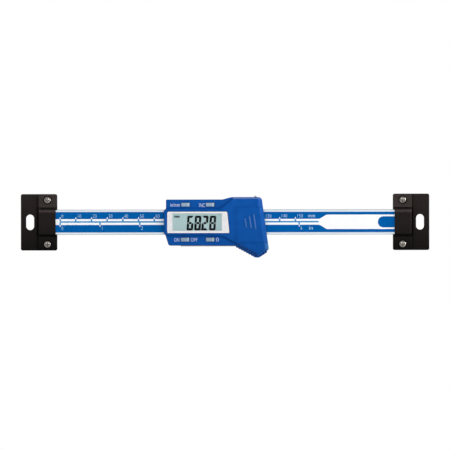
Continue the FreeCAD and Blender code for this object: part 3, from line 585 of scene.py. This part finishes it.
def uprightBar(place, side, half):  # left or right bar (side 0 or 1) of the lower or upper half (0 or 1)
    gap, middle = digits["gap"], digits["base"] + digits["height"] / 2
    left = place + side * (digits["width"] - digits["upright"])
    right = left + digits["upright"]
    notch = digits["notch"] / 2
    if half:
        low, high = middle + notch, digits["base"] + digits["height"] - gap
    else:
        low, high = digits["base"] + gap, middle - notch
    inner = left if side else right
    outerEnd, middleEnd = (high, low) if half else (low, high)
    return displayBar(left, right, low, high, [((inner, outerEnd), digits["upright"] * mitres["outerEnd"]),
                                               ((inner, middleEnd), digits["level"] * mitres["middleEnd"])])


def cutAway(piece, place, outward, fill):  # cuts off what lies beyond a plane
    selectPoints(piece, everywhere)
    bpy.ops.mesh.bisect(plane_co=place, plane_no=outward, clear_outer=True, use_fill=fill,
                        threshold=cutWithin * mm)
    bpy.ops.object.mode_set(mode="OBJECT")


def clipCorners(figure, place):  # cuts the four outer corners off a figure
    for across in (-1, 1):
        for up in (-1, 1):
            x = place + digits["width"] / 2 + across * (digits["width"] / 2 - digits["clip"])
            z = digits["base"] + digits["height"] * (1 + up) / 2
            cutAway(figure, (x * mm, 0, z * mm), (across, 0, up), False)


def displayDigit(figure, place):
    base, height, level = digits["base"], digits["height"], digits["level"]
    make = {"a": lambda: levelBar(place, base + height - level, -1), "d": lambda: levelBar(place, base, 1),
            "g": lambda: levelBar(place, base + (height - level) / 2, 0),
            "f": lambda: uprightBar(place, 0, 1), "b": lambda: uprightBar(place, 1, 1),
            "e": lambda: uprightBar(place, 0, 0), "c": lambda: uprightBar(place, 1, 0)}
    shape = joinAs("figure", [make[segment]() for segment in segmentsOf[figure]])
    clipCorners(shape, place)
    return shape


figures = digits["reading"].replace(".", "")
bars = [displayDigit(figure, place) for figure, place in zip(figures, digits["places"])]
dot = flatPatch(point["left"], point["left"] + point["size"], digits["base"], digits["base"] + point["size"],
                glassDepth)
roundPoints(dot, everywhere, point["size"] * point["round"], point["segments"])
reading = joinAs("displayReading", bars + [dot])
for vertex in reading.data.vertices:  # the figures lean a little to the right
    vertex.co.x += (vertex.co.z - digits["base"] * mm) * digits["lean"]
thicken(reading)
mount(reading, "lcdSegment", "slider")
unitSign = {"word": "mm", "left": 92.0, "right": 95.4, "base": 2.8, "high": 4.1, "bolder": 0.05}
sign = fitLetters(depth=glassDepth, **unitSign)
mount(joinAs("displayUnit", [sign]), "lcdSegment", "slider")

# white border printed on the window, with a painted highlight along its rim and a dark ring of painted shade
# in the seam round it
border = {"slant": 1.4, "corner": 0.7, "cornerSegments": 4, "seam": 0.14, "rim": 0.4, "left": 3.1,
          "width": 31.72, "top": 1.1, "bottom": 1.45, "viewCorner": 0.3, "viewSegments": 3}
lensDepth = frontDepth("display_lens")
lensLow, lensHigh = (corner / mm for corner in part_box("display_lens"))


def windowPatch(depth, inset):
    right = lensHigh.x - inset
    patch = flatPatch(lensLow.x + inset, right, lensLow.z + inset, lensHigh.z - inset, depth)
    selectPoints(patch, lambda x, z: x > right - near and z > 0)
    bpy.ops.transform.translate(value=(-border["slant"] * mm, 0, 0))
    bpy.ops.object.mode_set(mode="OBJECT")
    roundPoints(patch, everywhere, border["corner"], border["cornerSegments"])
    return patch


def windowRing(name, inset, width):  # a line of ink along the window's outline
    ring = joinAs(name, [windowPatch(lensDepth + inkRise, inset)])
    bpy.ops.object.mode_set(mode="EDIT")
    bpy.ops.mesh.select_mode(type="FACE")
    bpy.ops.mesh.select_all(action="SELECT")
    bpy.ops.mesh.inset(thickness=width * mm)
    bpy.ops.mesh.delete(type="FACE")
    bpy.ops.object.mode_set(mode="OBJECT")
    thicken(ring)
    return ring


viewLeft = lensLow.x + border["left"]
viewLow, viewHigh = lensLow.z + border["bottom"], lensHigh.z - border["top"]
viewPatch = flatPatch(viewLeft, viewLeft + border["width"], viewLow, viewHigh, lensDepth)
roundPoints(viewPatch, everywhere, border["viewCorner"], border["viewSegments"])
surround = joinAs("displayBorder", [windowPatch(lensDepth, border["seam"]), viewPatch])
bpy.ops.object.mode_set(mode="EDIT")
bpy.ops.mesh.select_all(action="SELECT")
bpy.ops.mesh.delete(type="ONLY_FACE")
bpy.ops.mesh.select_all(action="SELECT")
bpy.ops.mesh.bridge_edge_loops()
bpy.ops.object.mode_set(mode="OBJECT")
thicken(surround)
mount(surround, "whiteMask", "slider")
rim = mount(windowRing("displayRim", border["seam"], border["rim"]), "brightRim", "slider")
# the seam ring is painted shade in the gap between the window and the bezel
seam = mount(windowRing("displaySeam", 0.0, border["seam"]), "seamShade", "slider")
for piece in (surround, rim, seam):  # ink on a clear window lets the light through to the glass below
    piece.visible_shadow = False
print("display reads", digits["reading"])

# lower edges of the head: the thumb rest's sloping feet, one of them toothed
feet = {
    "thumbFoot": {"start": (132.03, -15.678), "angle": 28.6, "left": -0.9, "right": 15.3, "reach": 0.85,
                  "teeth": 9, "bite": 0.55},
    "heelFoot": {"start": (146.17, -22.22), "angle": -33.0, "left": -0.6, "right": 6.2, "reach": 0.28,
                 "teeth": 0, "corner": 0.9},
}
footShape = {"sunk": 0.9, "back": 10.05, "rise": 2.4, "round": 0.3, "toothSegments": 2, "cornerSegments": 4}


def cutTeeth(piece, foot):  # draws every second point of the lower edge in, and rounds them all
    left, right, teeth = foot["left"], foot["right"], foot["teeth"]
    selectPoints(piece, lambda x, z: z < 0)
    bpy.ops.mesh.subdivide(number_cuts=2 * teeth - 1)
    bpy.ops.object.mode_set(mode="OBJECT")
    valleys = [left + place * (right - left) / teeth for place in range(teeth + 1)]
    selectPoints(piece, lambda x, z: z < 0 and min(abs(x - valley) for valley in valleys) < near)
    bpy.ops.transform.translate(value=(0, 0, foot["bite"] * mm))
    bpy.ops.object.mode_set(mode="OBJECT")
    roundPoints(piece, lambda x, z: z < 0 and left + near < x < right - near,
                footShape["round"], footShape["toothSegments"])


for name, foot in feet.items():
    piece = flatPatch(foot["left"], foot["right"], -foot["reach"], footShape["sunk"], footShape["back"])
    if foot["teeth"]:
        cutTeeth(piece, foot)
    else:
        roundPoints(piece, lambda x, z: x > 0 and z < 0, foot["corner"], footShape["cornerSegments"])
    selectPoints(piece, everywhere)
    slope = (0, -footShape["rise"] * mm, foot["reach"] * mm)  # the side narrows towards the front
    bpy.ops.mesh.extrude_region_move(TRANSFORM_OT_translate={"value": slope})
    bpy.ops.object.mode_set(mode="OBJECT")
    piece.rotation_euler.y = math.radians(foot["angle"])
    piece.location = (foot["start"][0] * mm, 0, foot["start"][1] * mm)
    bpy.ops.object.transform_apply(location=True, rotation=True, scale=True)
    cutAway(piece, (0, 0, cadBox[0].z), (0, 0, -1), True)
    mount(joinAs(name, [piece]), "blueHousing", "slider")

# the carriage's bare edge under the lower strip
edge = {"left": 96.0, "right": 131.0, "height": -15.05, "drop": 0.4, "sunk": 0.5, "back": 2.0, "front": 8.3,
        "round": 0.15, "segments": 2}
edgeLow, edgeHigh = edge["height"] - edge["drop"], edge["height"] + edge["sunk"]
carriageEdge = flatPatch(edge["left"], edge["right"], edgeLow, edgeHigh, edge["back"])
selectPoints(carriageEdge, everywhere)
forward = (0, (edge["back"] - edge["front"]) * mm, 0)
bpy.ops.mesh.extrude_region_move(TRANSFORM_OT_translate={"value": forward})
bpy.ops.mesh.select_all(action="SELECT")
bpy.ops.mesh.bevel(offset=edge["round"] * mm, segments=edge["segments"], affect="EDGES")
bpy.ops.object.mode_set(mode="OBJECT")
mount(joinAs("carriageEdge", [carriageEdge]), "frameSteel", "slider")
print("thumb rest and carriage edged")

# studio: white surround, pale floor and three soft lamps
studio = {"middle": (0.1243, -0.009, -0.00187), "lightBelow": 0.07, "lightAbove": 0.47,
          "sheenFade": (0.3, 1.25), "sheen": (1.0, 0.15)}


def whiteSurround(nodes, links):  # 1 for rays that should see plain white, and the node that tells rays apart
    path = nodes.new("ShaderNodeLightPath")
    straight, through = path.outputs["Is Camera Ray"], path.outputs["Is Transmission Ray"]
    return worked(nodes, links, "MAXIMUM", straight, through), path


world = bpy.data.worlds.new("studioWorld")
bpy.context.scene.world = world
world.use_nodes = True
nodes, links = world.node_tree.nodes, world.node_tree.links
direction = nodes.new("ShaderNodeTexCoord")
axes = nodes.new("ShaderNodeSeparateXYZ")
links.new(direction.outputs["Generated"], axes.inputs["Vector"])
skyLight = ramp(nodes, links, axes.outputs["Z"], -1, 1, studio["lightBelow"], studio["lightAbove"])
height = worked(nodes, links, "ABSOLUTE", axes.outputs["Z"])
behind = worked(nodes, links, "ADD", height, axes.outputs["Y"])  # most at ceiling and floor behind the part
sheen = ramp(nodes, links, behind, *studio["sheenFade"], *studio["sheen"])
seesWhite, rays = whiteSurround(nodes, links)
reflected = between(nodes, links, rays.outputs["Is Glossy Ray"], skyLight, sheen)
background = nodes["Background"]
background.inputs["Color"].default_value = (1, 1, 1, 1)
links.new(between(nodes, links, seesWhite, reflected, 1.0), background.inputs["Strength"])

flooring = {"drop": 0.22, "size": 6.0, "tone": (0.9, 0.9, 0.9, 1), "rough": 0.9, "specular": 0.1,
            "fadeStart": 0.35, "fadeEnd": 0.75}   # it fades to white further out
clearSelection()
floorHeight = cadBox[0].z - flooring["drop"]
bpy.ops.mesh.primitive_plane_add(size=flooring["size"], location=(studio["middle"][0], 0, floorHeight))
floor = bpy.context.object
floor.name = "floor"
floorMaterial, nodes, links, floorShader = newMaterial("paleFloor")
floorShader.inputs["Base Color"].default_value = flooring["tone"]
floorShader.inputs["Roughness"].default_value = flooring["rough"]
floorShader.inputs["Specular IOR Level"].default_value = flooring["specular"]
glow = nodes.new("ShaderNodeEmission")
place = nodes.new("ShaderNodeTexCoord")
length = nodes.new("ShaderNodeVectorMath")
length.operation = "LENGTH"
links.new(place.outputs["Object"], length.inputs[0])
fade = ramp(nodes, links, length.outputs["Value"], flooring["fadeStart"], flooring["fadeEnd"], 0, 1)
fade.node.interpolation_type = "SMOOTHSTEP"
seen = worked(nodes, links, "MULTIPLY", fade, whiteSurround(nodes, links)[0])
blend = nodes.new("ShaderNodeMixShader")
links.new(seen, blend.inputs["Fac"])
links.new(floorShader.outputs["BSDF"], blend.inputs[1])
links.new(glow.outputs["Emission"], blend.inputs[2])
links.new(blend.outputs["Shader"], nodes["Material Output"].inputs["Surface"])
floor.data.materials.append(floorMaterial)
floor.visible_glossy = False

lamps = {"keyLamp": {"place": (0.15, -0.72, 0.45), "size": (0.8, 0.3), "power": 4.3},
         "rightLamp": {"place": (0.78, -0.03, 0.12), "size": (0.3, 0.3), "power": 2.8},
         "backLamp": {"place": (0.55, 1.0, 0.7), "size": (1.0, 1.0), "power": 8.0}}
for name, lamp in lamps.items():
    clearSelection()
    aim = Vector(studio["middle"]) - Vector(lamp["place"])
    turn = aim.to_track_quat("-Z", "Y").to_euler()
    bpy.ops.object.light_add(type="AREA", location=lamp["place"], rotation=turn)
    light = bpy.context.object
    light.name = name
    light.data.shape = "RECTANGLE"
    light.data.size, light.data.size_y = lamp["size"]
    light.data.energy = lamp["power"]
    light.visible_camera = False

view = {"lens": 1000.0, "sensor": 36.0, "width": 0.2869, "roll": 0.08, "plane": -0.0084}
distance = view["width"] * view["lens"] / view["sensor"]
clearSelection()
bpy.ops.object.camera_add(location=(studio["middle"][0], view["plane"] - distance, studio["middle"][2]),
                          rotation=(math.pi / 2, math.radians(view["roll"]), 0))
camera = bpy.context.object
camera.data.lens = view["lens"]
camera.data.sensor_width = view["sensor"]
camera.data.clip_end = 2 * distance
bpy.context.scene.camera = camera
bpy.context.scene.view_settings.view_transform = "Standard"
print("studio set")
